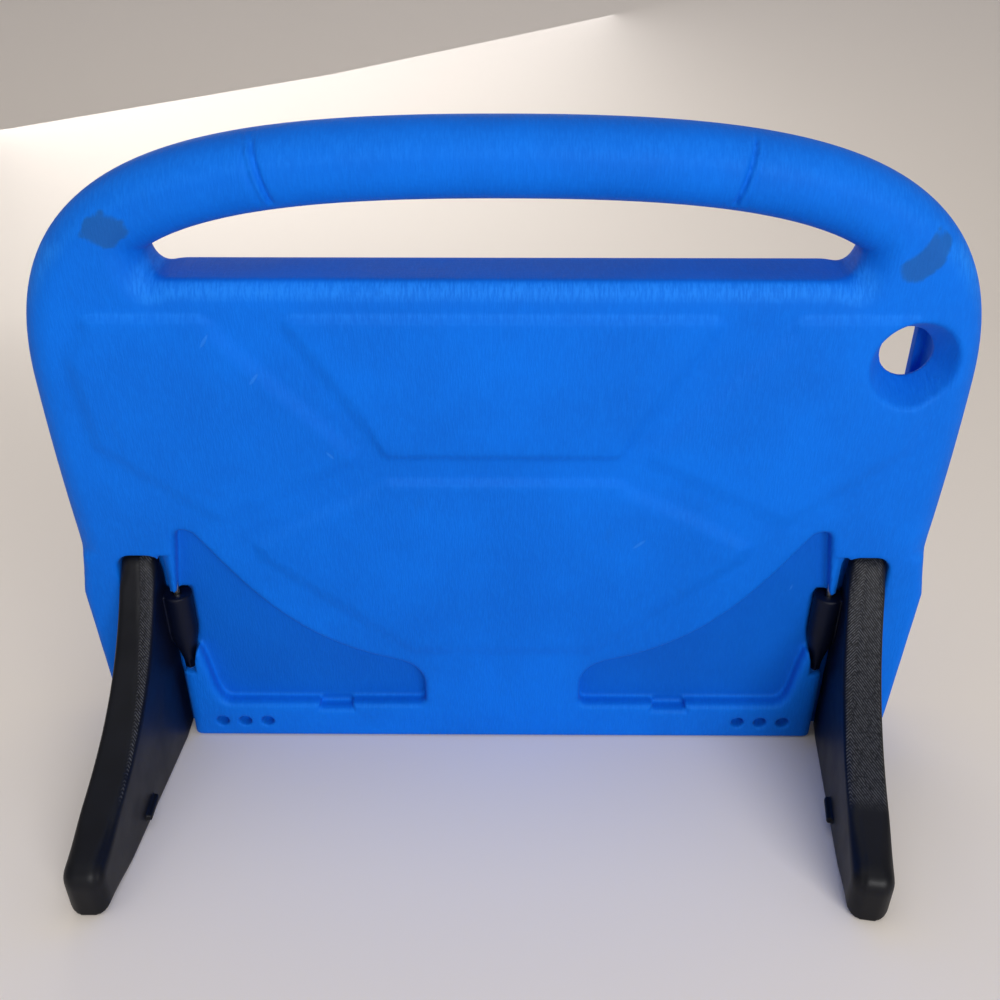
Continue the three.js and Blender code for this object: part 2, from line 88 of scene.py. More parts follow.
WING_PAD = [(40, 115.6), (88.6, 91), (124, 119), (127, 150), (118, 162.6), (84, 162.6)]
PAD_CORNERS = {"upper": 4, "lower": 3, "wing": 5}
BLOCK_INNER = 104.0
BLOCK_TOP = 82.0
BLOCK_SHOULDER = 64.0
BLOCK_TAPER = 2.6
BLOCK_PROUD = 0.3
BLOCK_ROUND = 3.5
BLOCK_EASE = {"least": 0.01, "side": 2.4, "fade": (131, 137)}

# Legs, slots and hinges
LEG_INNER = 4.0
LEG_OUTER = 15.9
LEG_HEIGHT = 78.3
LEG_REACH = 91.4
LEG_ROOT = 4.2
LEG_ROUND = 1.8
LEG_CURVE = ((46, 37.5), (24, 47))
LEG_SHOULDER = (4.3, 3.6)
TOE_SOFTNESS = 2.4
TOP_SOFTNESS = 2.2
TOE_TOP = 33.3
TOE_ROUND = 6.0
HEEL_HEIGHT = 0.9
HINGE_U = 108.3
HINGE_DEPTH = 3.7
HINGE_HEIGHT = 50.0
PIN_HOLE = 1.3
BARREL = {"gap": 0.45, "low": 30.6, "high": 62.4, "full": 48.0}
SLOT = {
    "inner": 110.3,
    "outer": 124.7,
    "top": 79.2,
    "floor": -8.3,
    "corner": 4.6,
    "low": 1.5,
    "high": 3.0,
}
NECK = {"radius": 5.2, "narrow": 0.45, "low": 30.0, "high": 63.3}
RECESS_DEPTH = 5.6
RECESS_NECK = 38.9
RECESS_BOTTOM = 15.5
RECESS_TIP = 27.0
NOTCH = {"u": 58.7, "half": 5.7, "floor": 13.1}
NUB = {"u": 58.7, "half": 4.7, "low": 13.5, "high": 15.5, "rise": 1.9}
DIMPLE = {"first": 83.6, "pitch": 8.0, "h": 7.5, "radius": 2.2, "depth": 5.0, "count": 3}
OPEN_ANGLE = {-1: 89.5, 1: 81.0}
SEAM = {"start": 0.42, "end": 0.08, "reach": 66.0, "toe": {-1: 0.12, 1: 0.24}, "depth": 0.3}

# Marks on the foam, in the panel frame: where, how they are turned, and their half sizes
STAINS = [
    {"at": (-107.6, 187.0), "turn": 0.35, "size": (6.3, 4.6)},
    {"at": (115.4, 180.5), "turn": 0.95, "size": (7.6, 4.6), "bite": ((110.2, 184.6), 0.9, 7.4, 4.2)},
]
SCUFFS = [
    ((-84.6, 155.4), 1.0, 2.3),
    ((-72.0, 143.4), 0.9, 2.0),
    ((43.5, 86.0), 0.7, 2.6),
    ((-52.0, 118.0), 2.3, 1.8),
    ((96.0, 64.0), 1.3, 1.7),
]

STAIN = {"rough": 0.35, "strength": 0.66}
SCUFF = {"half_width": 0.45, "rough": 0.3, "strength": 0.22, "relief": 0.25}

# Colours, and the depth of each material's relief in millimetres
FOAM = {
    "deep": (0.0006, 0.116, 0.60),
    "plain": (0.0012, 0.140, 0.70),
    "rib": (0.004, 0.20, 0.86),
    # Painted highlight: the paler colour for upward-facing rounded edges.
    "edge_highlight": (0.020, 0.26, 0.92),
    "grimy": (0.006, 0.085, 0.37),
    # Painted shade: the darker colour for the recess floors.
    "recess": (0.0004, 0.060, 0.36),
    "stained": (0.012, 0.080, 0.26),
    "scuffed": (0.05, 0.28, 0.86),
    "relief": 0.32,
}
PLASTIC = {
    "dark": (0.0022, 0.0026, 0.0048),
    "plain": (0.0045, 0.0050, 0.0078),
    # Painted reflection: the navy tint of the blue foam on the leg's inner face by the hinge.
    "hinge": (0.0006, 0.0022, 0.0120),
    "line": (0.085, 0.088, 0.100),
    "relief": 0.22,
}
CHEVRON = {"pitch": 1.3, "slope": 0.8, "fold": 1.5, "wobble": 2.4}
STEEL = {"dark": (0.50, 0.51, 0.53), "light": (0.62, 0.63, 0.65), "relief": 0.02}
# Painted shade: the greyer backdrop colour stands in for dimmer light higher up.
PAPER = {"floor": (0.90, 0.83, 0.76), "wall": (0.66, 0.62, 0.60), "fade": 500.0}

SHELL_STEP = 0.75
LEG_STEP = 0.6
SHELL_TRIANGLES = 190000
LEG_TRIANGLES = 90000


# The panel's frame, read from the right leg's hinge

hinge = next(j for j in frame["joints"] if j["child"] == "right_leg")
UP = np.array(hinge["axis"])
ACROSS = np.array([1.0, 0.0, 0.0])
OUT = np.cross(ACROSS, UP)
ORIGIN = np.array(hinge["pos_m"]) / MM - HINGE_U * ACROSS - HINGE_HEIGHT * UP + HINGE_DEPTH * OUT
LEAN = math.atan2(-UP[1], UP[2])


def to_row(points):
    """Panel points in millimetres as row points in metres."""
    points = np.asarray(points, float)
    return (ORIGIN + points @ np.array([ACROSS, UP, OUT])) * MM


# Outlines

def bezier(p0, p1, p2, p3, steps=14):
    t = np.linspace(0, 1, steps + 1)[:, None]
    p0, p1, p2, p3 = (np.array(p, float) for p in (p0, p1, p2, p3))
    return (1 - t) ** 3 * p0 + 3 * (1 - t) ** 2 * t * p1 + 3 * (1 - t) * t**2 * p2 + t**3 * p3


def quadratic(p0, p1, p2, steps=8):
    t = np.linspace(0, 1, steps + 1)[:, None]
    p0, p1, p2 = (np.array(p, float) for p in (p0, p1, p2))
    return (1 - t) ** 2 * p0 + 2 * (1 - t) * t * p1 + t**2 * p2


def arc(centre, radius, start, end, steps=10):
    a = np.radians(np.linspace(start, end, steps + 1))
    return np.array(centre) + radius * np.stack([np.cos(a), np.sin(a)], 1)


def mirrored(points):
    return [(-x, y) for x, y in reversed(list(points))]


def joined(*runs):
    """One closed outline from runs of points, without repeats."""
    points = np.concatenate([np.asarray(run, float).reshape(-1, 2) for run in runs])
    keep = np.linalg.norm(points - np.roll(points, 1, axis=0), axis=1) > 1e-6
    return points[keep]


def rounded(points, radius, steps=5):
    """The polygon with each corner rounded to one radius."""
    corners = [np.array(p, float) for p in points]
    out = []
    for i, corner in enumerate(corners):
        back = corners[i - 1] - corner
        ahead = corners[(i + 1) % len(corners)] - corner
        back, ahead = back / np.linalg.norm(back), ahead / np.linalg.norm(ahead)
        turn = math.pi - math.acos(np.clip(back @ ahead, -1, 1))
        reach = radius * math.tan(turn / 2)
        pull = reach - radius * math.tan(turn / 4) * 4 / 3
        arrive, leave = corner + back * reach, corner + ahead * reach
        out.append(bezier(arrive, corner + back * pull, corner + ahead * pull, leave, steps=steps))
    return joined(*out)


def crown_curve(steps=60):
    """The right half of the arched top, from the widest place up to the middle."""
    pull_u, pull_h = CROWN_PULL
    crown = (HALF_WIDTH * pull_u, WIDEST_HEIGHT + (TOP - WIDEST_HEIGHT) * pull_h)
    return bezier((HALF_WIDTH, WIDEST_HEIGHT), (HALF_WIDTH, crown[1]), (crown[0], TOP), (0, TOP), steps)


def body_outline():
    swell = (WIDEST_HEIGHT + WAIST[1]) / 2
    right = joined(
        arc((FOOT_HALF - CORNER_RADIUS, CORNER_RADIUS), CORNER_RADIUS, -90, 0),
        quadratic(WAIST, (HALF_WIDTH, swell), (HALF_WIDTH, WIDEST_HEIGHT)),
        crown_curve(),
    )
    return joined(right, mirrored(right))


def hand_opening():
    """Its upper edge keeps one distance to the arched top and comes to a point at each end."""
    crown = crown_curve()
    along = np.gradient(crown, axis=0)
    along /= np.linalg.norm(along, axis=1)[:, None]
    under = crown + HANDLE_HEIGHT * np.stack([-along[:, 1], along[:, 0]], 1)
    under = under[under[:, 1] > PANEL_TOP + GRIP_TIP_RISE]
    x, y = under[0]
    start = (x - GRIP_END_ROUND, PANEL_TOP)
    ease = (x - GRIP_END_ROUND / 3, PANEL_TOP), (x - 0.4, y - GRIP_TIP_RISE / 2)
    right = joined([(0, PANEL_TOP), start], bezier(start, *ease, (x, y)), under)
    return joined(right, mirrored(right))


def block_outline():
    foot, waist = FOOT_HALF + BLOCK_PROUD, WAIST[0]
    brow = waist - BLOCK_TAPER
    return joined(
        [(BLOCK_INNER, 0)],
        quadratic((foot - CORNER_RADIUS, 0), (foot, 0), (foot, CORNER_RADIUS)),
        [(waist, BLOCK_SHOULDER), (brow, BLOCK_TOP - BLOCK_ROUND), (brow - BLOCK_ROUND, BLOCK_TOP)],
        [(BLOCK_INNER, BLOCK_TOP)],
    )


def pads():
    return [
        rounded(UPPER_PAD, PAD_CORNERS["upper"]),
        rounded(LOWER_PAD + mirrored(LOWER_PAD), PAD_CORNERS["lower"]),
        rounded(WING_PAD, PAD_CORNERS["wing"]),
        rounded(mirrored(WING_PAD), PAD_CORNERS["wing"]),
    ]


def recess_outline():
    low, high = RECESS_NECK, BARREL["high"]
    return joined(
        [(RECESS_TIP + 3, RECESS_BOTTOM), (95, RECESS_BOTTOM)],
        bezier((95.3, RECESS_BOTTOM), (101.8, RECESS_BOTTOM), (100.3, low - 9), (103.8, low + 1)),
        [(SLOT["inner"] + 1, low), (SLOT["inner"] + 1, high), (107.8, high + 1)],
        quadratic((104.6, 86), (104, 90.5), (99, 88)),
        bezier((99, 88), (86, 70), (72, 44.5), (37, 35.8)),
        quadratic((37, 35.8), (RECESS_TIP + 0.6, 33.6), (RECESS_TIP, 25)),
        quadratic(
            (RECESS_TIP, RECESS_BOTTOM + 3),
            (RECESS_TIP, RECESS_BOTTOM),
            (RECESS_TIP + 3, RECESS_BOTTOM),
        ),
    )


# Distance fields, negative inside

def outline_distance(points, x, y):
    """Signed distance to a closed outline, for arrays x and y."""
    nearest = np.full(x.shape, np.inf)
    inside = np.zeros(x.shape, bool)
    for (ax, ay), (bx, by) in zip(points, np.roll(points, -1, axis=0)):
        dx, dy = bx - ax, by - ay
        t = np.clip(((x - ax) * dx + (y - ay) * dy) / (dx * dx + dy * dy), 0, 1)
        nearest = np.minimum(nearest, (x - ax - t * dx) ** 2 + (y - ay - t * dy) ** 2)
        if dy:
            crosses = (ay > y) != (by > y)
            inside ^= crosses & (x < ax + (y - ay) * dx / dy)
    return np.where(inside, -1, 1) * np.sqrt(nearest)


def both(*fields):
    out = fields[0]
    for field in fields[1:]:
        out = np.maximum(out, field)
    return out


def either(*fields):
    out = fields[0]
    for field in fields[1:]:
        out = np.minimum(out, field)
    return out


def soft_either(a, b, ease):
    return np.minimum(a, b) - np.maximum(ease - np.abs(a - b), 0) ** 2 / (4 * ease)


def soft_both(a, b, ease):
    return -soft_either(-a, -b, ease)


def smooth(x, low, high):
    t = np.clip((x - low) / (high - low), 0, 1)
    return t * t * (3 - 2 * t)


def lens(d, z, half, round_in, round_depth):
    """A plate of the outline field d, about z = 0, with elliptical edges."""
    a = (d + round_in) / round_in
    b = (np.abs(z) - (half - round_depth)) / round_depth
    corner = np.hypot(np.maximum(a, 0), np.maximum(b, 0)) - 1
    return (corner + np.minimum(np.maximum(a, b), 0)) * np.minimum(round_in, round_depth)


def pad_rise(u, h, side):
    """How far each pad stands out: crisp along the top edges, softer and lower down the sides."""
    upper, lower, *wings = (outline_distance(points, u, h) for points in pads())
    crisp = np.maximum(smooth(h, 157, 161), smooth(h, 103, 107) * smooth(side, 42, 34))
    ease = PAD_EASE["soft"] + (PAD_EASE["crisp"] - PAD_EASE["soft"]) * crisp
    rise = smooth(-upper, -PAD_FOOT, ease)
    rise = np.maximum(rise, smooth(-lower, -PAD_FOOT, ease) * (0.6 + 0.4 * smooth(h, 50, 95)))
    for wing in wings:
        rise = np.maximum(rise, smooth(-wing, -PAD_FOOT, ease) * (0.6 + 0.4 * smooth(h, 95, 135)))
    return PAD_RISE * rise


def crease_depth(side, h):
    """The moulded fold across the handle: two fine grooves with a low ridge between them."""
    (x0, y0), (x1, y1) = CREASE["bottom"], CREASE["top"]
    length = math.hypot(x1 - x0, y1 - y0)
    across = ((side - x0) * (y1 - y0) - (h - y0) * (x1 - x0)) / length
    within = smooth(h, y0 - 2, y0) * smooth(h, y1 + 1, y1 - 3)
    main = np.exp(-(across / CREASE["width"]) ** 2)
    outer = np.exp(-((across - CREASE["second"]) / CREASE["width"]) ** 2)
    ridge = np.exp(-((across - CREASE["second"] / 2) / CREASE["width"]) ** 2)
    return CREASE["depth"] * within * (main + 0.35 * outer - 0.4 * ridge)


def neck_radius(h):
    """The pocket round the hinge barrel narrows towards its lower end."""
    narrow = NECK["narrow"]
    return NECK["radius"] * (narrow + (1 - narrow) * smooth(h, NECK["low"] + 2, BARREL["full"]))


def shell_field(u, h, w):
    """The whole foam body, for arrays that broadcast against each other."""
    u2, h2 = np.broadcast_arrays(u[:, :, 0] + 0 * h[:, :, 0], h[:, :, 0] + 0 * u[:, :, 0])
    side = np.abs(u2)

    def flat(field):
        return field[:, :, None]

    outside = outline_distance(body_outline(), u2, h2)
    ring = np.maximum(outside, -outline_distance(hand_opening(), u2, h2))
    near_shelf = smooth(h2, *SHELF_FADE["above"]) * smooth(side, *SHELF_FADE["side"])
    near_shelf = near_shelf * smooth(h2, *SHELF_FADE["below"])
    round_in = EDGE_ROUND + (PANEL_TOP_ROUND - EDGE_ROUND) * near_shelf
    round_depth = EDGE_ROUND_DEPTH + (PANEL_TOP_ROUND_DEPTH - EDGE_ROUND_DEPTH) * near_shelf
    rise = pad_rise(u2, h2, side)
    middle = w + THICKNESS / 2
    back = middle - flat(rise) * (middle > 0)
    half = THICKNESS / 2
    body = lens(flat(ring), back, half, flat(round_in), flat(round_depth))
    block = outline_distance(block_outline(), side, h2)
    blend = flat(BLOCK_EASE["least"] + BLOCK_EASE["side"] * smooth(side, *BLOCK_EASE["fade"]))
    body = soft_either(body, lens(flat(block), middle, half, BLOCK_ROUND, BLOCK_ROUND), blend)
    sill = both(-h2, h2 - BLOCK_TOP, side - FOOT_HALF + CORNER_RADIUS)
    body = either(body, lens(flat(sill), middle, half, BOTTOM_ROUND, BOTTOM_ROUND))

    body = body + flat(crease_depth(side, h2)) * (w > -THICKNESS / 2)

    recess = outline_distance(recess_outline(), side, h2)
    notch = np.abs(side - NOTCH["u"]) - NOTCH["half"]
    notch = both(notch, NOTCH["floor"] - h2, h2 - RECESS_BOTTOM - 1)
    recess = soft_both(flat(either(recess, notch)), -(w + RECESS_DEPTH), 1.5)
    body = soft_both(body, -recess, 2.4)

    slot = both(SLOT["inner"] - side, side - SLOT["outer"], h2 - SLOT["top"])
    centre, half_slot = (SLOT["inner"] + SLOT["outer"]) / 2, (SLOT["outer"] - SLOT["inner"]) / 2
    corner = np.hypot(
        np.maximum(np.abs(side - centre) - half_slot + SLOT["corner"], 0),
        np.maximum(h2 - SLOT["top"] + SLOT["corner"], 0),
    ) - SLOT["corner"]
    slot = np.maximum(slot, corner)
    share = smooth(h2, NECK["high"] - 1.5, NECK["high"] + 1.5)
    size = SLOT["low"] + (SLOT["high"] - SLOT["low"]) * share
    reach = SLOT["inner"] - flat(size)
    bevel = (reach - w - flat(side)) / math.sqrt(2)
    bevel = both(bevel, flat(side) - SLOT["inner"] - 1, flat(h2) - SLOT["top"])
    body = soft_both(body, -either(both(flat(slot), SLOT["floor"] - w), bevel), 1.4)
    radius = neck_radius(flat(h2))
    axis = np.hypot(flat(side) - HINGE_U, w + HINGE_DEPTH) - radius
    mouth = both(HINGE_U - radius - flat(side), flat(side) - SLOT["inner"] - 1, -HINGE_DEPTH - w)
    neck = both(either(axis, mouth), flat(NECK["low"] - h2), flat(h2 - NECK["high"]))
    body = soft_both(body, -neck, 0.8)

    for i in range(DIMPLE["count"]):
        centre = DIMPLE["first"] + i * DIMPLE["pitch"]
        away = np.hypot(side - centre, h2 - DIMPLE["h"]) - DIMPLE["radius"]
        body = soft_both(body, -both(flat(away), -DIMPLE["depth"] - w), 0.8)

    sides = [(-BAY_HALF, BAY_BOTTOM), (BAY_HALF, BAY_BOTTOM), (BAY_HALF, BAY_TOP), (-BAY_HALF, BAY_TOP)]
    bay = outline_distance(rounded(sides, BAY_RADIUS), u2, h2)
    pocket = both(flat(bay), w + BACK_WALL, LIP - THICKNESS - w)
    window = both(flat(bay + LIP_REACH), w + BACK_WALL)
    body = soft_both(body, -either(pocket, window), 1.2)

    hole = CAMERA_HOLE
    flare = (hole["outer"] - hole["inner"]) / hole["depth"]
    reach = hole["inner"] + flare * np.maximum(w + hole["depth"], 0)
    cone = (np.hypot(flat(u2 - hole["u"]), flat(h2 - hole["h"])) - reach) / math.hypot(1, flare)
    body = soft_both(body, -both(cone, -BACK_WALL - 1 - w), 1.2)

    port = np.hypot(w + (THICKNESS - LIP + BACK_WALL) / 2,
                    np.maximum(np.abs(flat(h2) - PORT["h"]) - (PORT["length"] - PORT["width"]) / 2, 0))
    port = both(port - PORT["width"] / 2, flat(u2) + BAY_HALF - 1)
    return soft_both(body, -port, 1.2)


def ground_height(w):
    """The floor's height in the panel frame at depth w."""
    return (w * math.sin(LEAN) - ORIGIN[2]) / math.cos(LEAN)


def leg_outline():
    toe, knuckle = (LEG_REACH, TOE_TOP - TOE_ROUND), (LEG_REACH - TOE_ROUND, TOE_TOP)
    shoulder = (LEG_SHOULDER[0], LEG_HEIGHT - LEG_SHOULDER[1])
    return joined(
        [(-LEG_ROOT, HEEL_HEIGHT - 6), (LEG_REACH - 0.4, HEEL_HEIGHT)],
        quadratic(toe, (LEG_REACH, TOE_TOP - 0.6), knuckle),
        bezier(knuckle, *LEG_CURVE, shoulder, steps=30),
        quadratic(shoulder, (3.0, LEG_HEIGHT), (-0.5, LEG_HEIGHT)),
        [(-LEG_ROOT, LEG_HEIGHT)],
    )


def seam_depth(side, r, h, x):
    """The parting seam down the leg's upper edge, and the short one on its toe."""
    thickness = LEG_OUTER - LEG_INNER
    end = SEAM["reach"]
    wander = 0.25 * np.sin(r * 0.31 + side) + 0.2 * np.sin(h * 0.43)
    share = SEAM["end"] + (SEAM["start"] - SEAM["end"]) * (1 - smooth(r, -5, end))
    line = np.exp(-((x - LEG_INNER - share * thickness - wander) / 0.45) ** 2)
    line = line * smooth(r, end + 4, end)
    toe = np.exp(-((x - LEG_INNER - SEAM["toe"][side] * thickness - wander) / 0.5) ** 2)
    toe = toe * smooth(r, end, end + 6)
    upper = smooth(h, TOE_TOP - 14, TOE_TOP - 8)
    return SEAM["depth"] * (line + 0.8 * toe) * upper


def leg_field(side, r, h, x):
    """One leg about its hinge: r out along the leg, h up, x outward through its thickness."""
    r2, h2 = np.broadcast_arrays(r[:, :, 0] + 0 * h[:, :, 0], h[:, :, 0] + 0 * r[:, :, 0])
    angle = math.radians(OPEN_ANGLE[side])
    profile = outline_distance(leg_outline(), r2, h2)
    depth = r2 * math.sin(angle) + (LEG_INNER + LEG_OUTER) / 2 * math.cos(angle) - HINGE_DEPTH
    sole = np.maximum(ground_height(depth) + 0.1, np.where(depth < 5, HEEL_HEIGHT, -9))
    profile = np.maximum(profile, (sole - h2) * math.cos(LEAN))
    thick = (LEG_OUTER - LEG_INNER) / 2
    softness = LEG_ROUND + TOE_SOFTNESS * smooth(r2, 66, 86)
    softness = (softness + TOP_SOFTNESS * smooth(h2, LEG_HEIGHT - 10, LEG_HEIGHT - 3))[:, :, None]
    body = lens(profile[:, :, None], x - LEG_INNER - thick, thick, softness, softness)
    body = body + seam_depth(side, r, h, x)
    depth = r * math.sin(angle) + x * math.cos(angle) - HINGE_DEPTH
    level = (BARREL["low"] + BARREL["high"]) / 2
    tall = np.abs(h - level) - (BARREL["high"] - BARREL["low"]) / 2
    barrel = both(np.hypot(r, x) - neck_radius(h) + BARREL["gap"], tall)
    body = soft_either(body, barrel, 0.6)
    reach = HINGE_U - NUB["u"]
    nub = both(np.abs(r - reach) - NUB["half"], NUB["low"] - h, h - NUB["high"])
    nub = both(nub, LEG_INNER - NUB["rise"] - x, x - LEG_INNER - 2)
    body = soft_either(body, nub, 0.5)
    body = np.maximum(body, PIN_HOLE - np.hypot(r, x))
    return np.maximum(body, (ground_height(depth) + 0.02 - h) * math.cos(LEAN))


# Meshing

def surface(field, xs, ys, zs):
    """Vertices and quads of the field's zero surface, one vertex in each cell that it crosses."""
    inside = field < 0
    corners = [(i, j, k) for i in (0, 1) for j in (0, 1) for k in (0, 1)]
    nx, ny, nz = (n - 1 for n in field.shape)
    count = np.zeros((nx, ny, nz), np.int8)
    for i, j, k in corners:
        count += inside[i:i + nx, j:j + ny, k:k + nz]
    mixed = (count > 0) & (count < 8)
    number = np.full(mixed.shape, -1, np.int64)
    number[mixed] = np.arange(mixed.sum())
    ci, cj, ck = np.nonzero(mixed)
    total = np.zeros((len(ci), 3))
    hits = np.zeros(len(ci))
    for a in corners:
        for axis in range(3):
            if a[axis]:
                continue
            b = tuple(v + (n == axis) for n, v in enumerate(a))
            va = field[ci + a[0], cj + a[1], ck + a[2]]
            vb = field[ci + b[0], cj + b[1], ck + b[2]]
            cut = (va < 0) != (vb < 0)
            t = np.where(cut, va / np.where(cut, va - vb, 1), 0)
            for n, (grid, cell) in enumerate(zip((xs, ys, zs), (ci, cj, ck))):
                start, end = grid[cell + a[n]], grid[cell + b[n]]
                total[:, n] += np.where(cut, start + t * (end - start), 0)
            hits += cut
    quads = []
    for axis in range(3):
        first = [slice(1, -1)] * 3
        first[axis] = slice(None, -1)
        second = list(first)
        second[axis] = slice(1, None)
        before, after = inside[tuple(first)], inside[tuple(second)]
        at = np.argwhere(before != after)
        out = before[tuple(at.T)]
        at += [0 if n == axis else 1 for n in range(3)]
        p, q = [n for n in range(3) if n != axis]
        ring = []
        for dp, dq in ((-1, -1), (0, -1), (0, 0), (-1, 0)):
            cell = at.copy()
            cell[:, p] += dp
            cell[:, q] += dq
            ring.append(number[tuple(cell.T)])
        ring = np.stack(ring, 1)
        flip = out if axis != 1 else ~out
        ring[~flip] = ring[~flip][:, ::-1]
        quads.append(ring)
    return total / hits[:, None], np.concatenate(quads)


def grid(low, high, step):
    return np.arange(low, high + step, step)


def mesh_object(name, points, faces, triangles):
    mesh = bpy.data.meshes.new(name)
    mesh.vertices.add(len(points))
    mesh.vertices.foreach_set("co", points.astype(np.float32).ravel())
    mesh.loops.add(faces.size)
    mesh.loops.foreach_set("vertex_index", faces.astype(np.int32).ravel())
    mesh.polygons.add(len(faces))
    mesh.polygons.foreach_set("loop_start", np.arange(0, faces.size, faces.shape[1], dtype=np.int32))
    mesh.update(calc_edges=True)
    mesh.validate()
    piece = bpy.data.objects.new(name, mesh)
    bpy.context.scene.collection.objects.link(piece)
    if 2 * len(faces) > triangles:
        bpy.context.view_layer.objects.active = piece
        modifier = piece.modifiers.new("fewer", "DECIMATE")
        modifier.ratio = triangles / (2 * len(faces))
        bpy.ops.object.modifier_apply(modifier=modifier.name)
    piece.data.polygons.foreach_set("use_smooth", np.ones(len(piece.data.polygons), bool))
    return piece


def foam_shell():
    us = grid(-HALF_WIDTH - 3, HALF_WIDTH + 3, SHELL_STEP)
    hs = grid(-3, TOP + 3, SHELL_STEP)
    ws = grid(-THICKNESS - 3, PAD_RISE + 3, SHELL_STEP)
    field = shell_field(us[:, None, None], hs[None, :, None], ws[None, None, :])
    points, faces = surface(field, us, hs, ws)
    shell = mesh_object("foam_body", to_row(points), faces, SHELL_TRIANGLES)
    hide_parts("case_shell")
    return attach(shell, "case")


def moulded_leg(side):
    name = "left_leg" if side < 0 else "right_leg"
    rs = grid(-LEG_ROOT - 3, LEG_REACH + 3, LEG_STEP)
    hs = grid(-8, LEG_HEIGHT + 3, LEG_STEP)
    xs = grid(-NECK["radius"] - 3, LEG_OUTER + 3, LEG_STEP)
    field = leg_field(side, rs[:, None, None], hs[None, :, None], xs[None, None, :])
    points, faces = surface(field, rs, hs, xs)
    r, h, x = points.T
    turn = math.radians(90 - OPEN_ANGLE[side])
    u = side * (HINGE_U + x * math.cos(turn) - r * math.sin(turn))
    w = -HINGE_DEPTH + x * math.sin(turn) + r * math.cos(turn)
    if side > 0:
        faces = faces[:, ::-1]
    leg = mesh_object(name + "_moulding", to_row(np.stack([u, h, w], 1)), faces, LEG_TRIANGLES)
    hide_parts(name)
    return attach(leg, name)


# Materials

class Material:
    """A principled material whose nodes are made by short calls."""

    def __init__(self, name, **sockets):
        self.data = bpy.data.materials.new(name)
        self.data.use_nodes = True
        self.tree = self.data.node_tree
        self.shader = self.tree.nodes["Principled BSDF"]
        for socket, value in sockets.items():
            self.set(self.shader.inputs[socket.replace("_", " ")], value)

    def set(self, socket, value):
        if isinstance(value, bpy.types.NodeSocket):
            self.tree.links.new(value, socket)
        elif isinstance(value, tuple) and socket.type == "RGBA":
            socket.default_value = (*value, 1)
        else:
            socket.default_value = value

    def node(self, kind, output=0, settings=None, **inputs):
        node = self.tree.nodes.new("ShaderNode" + kind)
        for name, value in (settings or {}).items():
            setattr(node, name, value)
        for name, value in inputs.items():
            key = int(name[1:]) if name[0] == "i" and name[1:].isdigit() else name.replace("_", " ")
            self.set(node.inputs[key], value)
        return node.outputs[output]

    def place(self, output="Object"):
        return self.tree.nodes.new("ShaderNodeTexCoord").outputs[output]

    def math(self, operation, a, b=0.0, clamp=False):
        return self.node("Math", settings={"operation": operation, "use_clamp": clamp}, i0=a, i1=b)

    def times(self, first, *others):
        for other in others:
            first = self.math("MULTIPLY", first, other)
        return first

    def along(self, vector, direction, start=0.0):
        """The distance in millimetres along a direction, from start."""
        reach = self.node("VectorMath", "Value", {"operation": "DOT_PRODUCT"}, i0=vector,
                          i1=tuple(float(v) / MM for v in direction))
        return self.math("SUBTRACT", reach, float(start))

    def facing(self, normal, direction):
        """How far a normal points along a direction, from -1 to 1."""
        return self.node("VectorMath", "Value", {"operation": "DOT_PRODUCT"}, i0=normal,
                         i1=tuple(float(v) for v in direction))

    def noise(self, size, detail=2.0, roughness=0.5):
        """Noise with features of about size millimetres, which may differ along x, y and z."""
        scale = tuple(1 / (MM * v) for v in (size if isinstance(size, tuple) else (size,) * 3))
        stretched = self.node("VectorMath", 0, {"operation": "MULTIPLY"}, i0=self.place(), i1=scale)
        return self.node("TexNoise", "Fac", Vector=stretched, Scale=1.0, Detail=detail,
                         Roughness=roughness)

    def ramp(self, value, low, high, to_low=0.0, to_high=1.0):
        return self.node("MapRange", settings={"interpolation_type": "SMOOTHSTEP"}, Value=value,
                         From_Min=low, From_Max=high, To_Min=to_low, To_Max=to_high)

    def mix(self, share, a, b):
        return self.node("Mix", 2, {"data_type": "RGBA"}, i0=share, i6=a, i7=b)

    def finish(self, colour, roughness, height, depth, strength=1.0):
        """Joins the colour, roughness and a height field whose full depth is in millimetres."""
        self.set(self.shader.inputs["Base Color"], colour)
        self.set(self.shader.inputs["Roughness"], roughness)
        bump = self.node("Bump", "Normal", Strength=strength, Distance=depth * MM, Height=height)
        self.set(self.shader.inputs["Normal"], bump)
        return self.data


def spot(material, centre, turn, half_length, half_width, rough=0.0):
    """One inside a flat patch on the foam's back, fading to nought at its edge."""
    place = material.place()
    u, h = centre
    directions = (
        math.cos(turn) * ACROSS + math.sin(turn) * UP,
        math.cos(turn) * UP - math.sin(turn) * ACROSS,
        OUT,
    )
    point = to_row((u, h, 0))
    total = 0.0
    for direction, size in zip(directions, (half_length, half_width, 8.0)):
        reach = material.along(place, direction, point @ direction / MM)
        share = material.math("POWER", material.math("DIVIDE", reach, size), 2.0)
        total = material.math("ADD", share, total)
    if rough:
        ragged = material.ramp(material.noise(5.0, 3.0), 0.3, 0.7, -rough, rough)
        total = material.math("ADD", total, ragged)
    return material.ramp(total, 1.3, 0.7)


